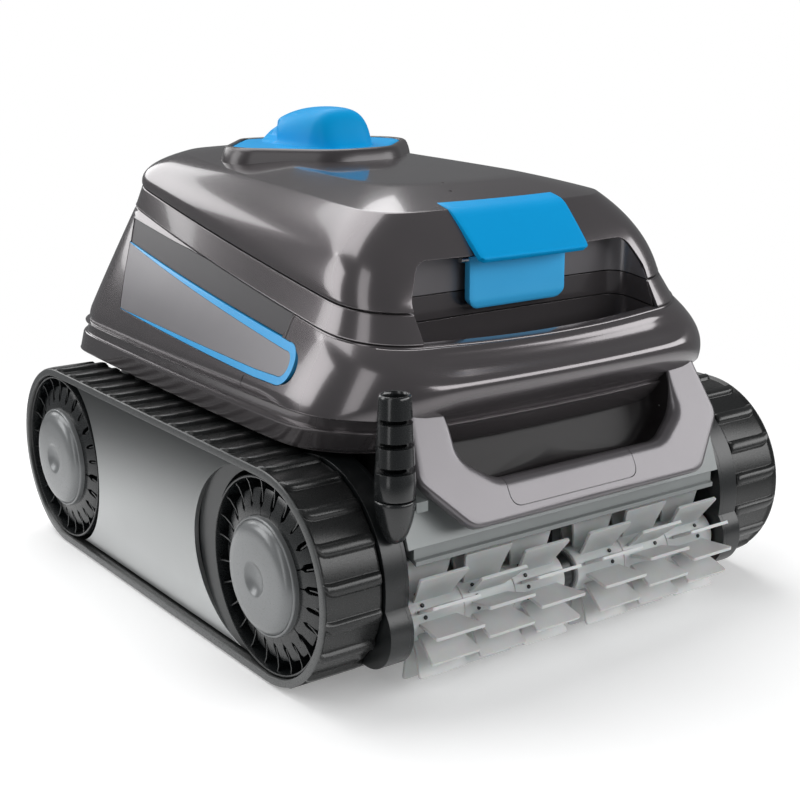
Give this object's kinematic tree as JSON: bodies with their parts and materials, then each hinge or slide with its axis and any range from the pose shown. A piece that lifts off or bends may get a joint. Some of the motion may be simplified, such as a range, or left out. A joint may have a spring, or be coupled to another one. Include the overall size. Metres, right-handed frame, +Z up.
{
  "type": "pool cleaner",
  "caption": "Tracked robotic pool cleaner with an opening lid, a pressure latch, an outlet hood, ribbed belts over spinning wheels and geared blade brushes.",
  "frame": {"origin": "on the pool floor under the middle of the machine", "axes": "+X to the right of someone who faces the front, +Y towards the rear (the brush is at -Y), +Z up"},
  "size_m": [0.381, 0.436, 0.314],
  "materials": {
    "body_shell": "moulded, metallic bronze grey, glossy",
    "front_plate": "moulded, lighter metallic grey, satin gloss",
    "dark_shell": "moulded, dark glossy grey",
    "blue_cover": "moulded blue",
    "light_blue": "moulded light blue",
    "stripe_blue": "moulded blue stripe",
    "black_plastic": "moulded black, satin",
    "rubber": "moulded rubber",
    "hub_grey": "moulded grey, satin",
    "flank_grey": "painted grey, satin",
    "brush_pvc": "flexible PVC, milky",
    "core_grey": "moulded grey",
    "gear_nylon": "natural nylon",
    "steel": "stainless steel",
    "motor_can": "painted can",
    "mesh_cloth": "fine woven polyester",
    "foam": "closed-cell foam"
  },
  "bodies": {
    "chassis": {"accent_stripes": "stripe_blue", "axle_sleeves": "gear_nylon", "brush_bearing": "black_plastic", "brush_hood": "black_plastic", "cable_boot": "black_plastic", "cable_gland": "black_plastic", "casing_screws": "steel", "chassis_tray": "black_plastic", "collar_band": "body_shell", "drive_motors": "motor_can", "filter_canister": "black_plastic", "filter_mesh": "mesh_cloth", "flank_panel_left": "flank_grey", "flank_panel_right": "flank_grey", "front_plate": "front_plate", "gear_cover_left": "black_plastic", "gear_cover_right": "black_plastic", "grip_insert": "dark_shell", "handle_pocket": "dark_shell", "hinge_pin": "steel", "inlet_duct": "black_plastic", "lid_gasket": "rubber", "lower_shell": "body_shell", "pump_housing": "black_plastic", "pump_motor": "motor_can", "side_frame_left": "black_plastic", "side_frame_right": "black_plastic", "side_insert_left": "body_shell", "side_insert_right": "body_shell", "track_left": "rubber", "track_right": "rubber", "wheel_axles": "steel"},
    "lid": {"latch_cover": "blue_cover", "latch_pin": "steel", "lid_band": "body_shell", "lid_floats": "foam", "lid_shell": "body_shell", "nozzle_bezel": "body_shell", "outlet_grille": "black_plastic", "outlet_hood": "blue_cover", "top_panel": "body_shell"},
    "latch": {"latch_lever": "light_blue"},
    "impeller": {"impeller": "gear_nylon"},
    "inlet_flap": {"inlet_flap": "rubber"},
    "wheel_front_left": {"wheel_front_left": "black_plastic", "hub_cap_front_left": "hub_grey", "hub_gear_left": "gear_nylon"},
    "wheel_rear_left": {"wheel_rear_left": "black_plastic", "hub_cap_rear_left": "hub_grey"},
    "brush_left": {"brush_core_left": "core_grey", "brush_blades_left": "brush_pvc"},
    "pinion_left": {"drive_pinion_left": "gear_nylon"},
    "wheel_front_right": {"wheel_front_right": "black_plastic", "hub_cap_front_right": "hub_grey", "hub_gear_right": "gear_nylon"},
    "wheel_rear_right": {"wheel_rear_right": "black_plastic", "hub_cap_rear_right": "hub_grey"},
    "brush_right": {"brush_core_right": "core_grey", "brush_blades_right": "brush_pvc"},
    "pinion_right": {"drive_pinion_right": "gear_nylon"}
  },
  "joints": [
    {"name": "lid_hinge", "type": "hinge", "parent": "chassis", "child": "lid", "pos_m": [0, 0.203, 0.2437], "axis": [-1, 0, 0], "range_deg": [0, 95]},
    {"name": "latch_pivot", "type": "hinge", "parent": "lid", "child": "latch", "pos_m": [0, -0.137, 0.236], "axis": [-1, 0, 0], "range_deg": [0, 20], "stiffness_Nm_per_rad": 0.3},
    {"name": "impeller_spin", "type": "hinge", "parent": "chassis", "child": "impeller", "pos_m": [0, 0.096, 0.15], "axis": [0, 0, 1], "continuous": true},
    {"name": "inlet_flap_hinge", "type": "hinge", "parent": "chassis", "child": "inlet_flap", "pos_m": [0, 0.0005, 0.0803], "axis": [-1, 0, 0], "range_deg": [0, 50]},
    {"name": "wheel_front_left_spin", "type": "hinge", "parent": "chassis", "child": "wheel_front_left", "pos_m": [-0.165, -0.135, 0.066], "axis": [1, 0, 0], "continuous": true},
    {"name": "wheel_rear_left_spin", "type": "hinge", "parent": "chassis", "child": "wheel_rear_left", "pos_m": [-0.165, 0.15, 0.066], "axis": [1, 0, 0], "continuous": true},
    {"name": "brush_left_spin", "type": "hinge", "parent": "chassis", "child": "brush_left", "pos_m": [-0.065, -0.181, 0.04025], "axis": [1, 0, 0], "continuous": true},
    {"name": "pinion_left_spin", "type": "hinge", "parent": "chassis", "child": "pinion_left", "pos_m": [-0.136, -0.10233, 0.09341], "axis": [1, 0, 0], "continuous": true},
    {"name": "wheel_front_right_spin", "type": "hinge", "parent": "chassis", "child": "wheel_front_right", "pos_m": [0.165, -0.135, 0.066], "axis": [1, 0, 0], "continuous": true},
    {"name": "wheel_rear_right_spin", "type": "hinge", "parent": "chassis", "child": "wheel_rear_right", "pos_m": [0.165, 0.15, 0.066], "axis": [1, 0, 0], "continuous": true},
    {"name": "brush_right_spin", "type": "hinge", "parent": "chassis", "child": "brush_right", "pos_m": [0.065, -0.181, 0.04025], "axis": [1, 0, 0], "continuous": true},
    {"name": "pinion_right_spin", "type": "hinge", "parent": "chassis", "child": "pinion_right", "pos_m": [0.136, -0.10233, 0.09341], "axis": [1, 0, 0], "continuous": true}
  ],
  "couplings": [
    {"joint": "wheel_rear_left_spin", "follows": "wheel_front_left_spin", "ratio": 1},
    {"joint": "brush_left_spin", "follows": "wheel_front_left_spin", "ratio": -2},
    {"joint": "pinion_left_spin", "follows": "wheel_front_left_spin", "ratio": -4.6667},
    {"joint": "wheel_rear_right_spin", "follows": "wheel_front_right_spin", "ratio": 1},
    {"joint": "brush_right_spin", "follows": "wheel_front_right_spin", "ratio": -2},
    {"joint": "pinion_right_spin", "follows": "wheel_front_right_spin", "ratio": -4.6667}
  ]
}
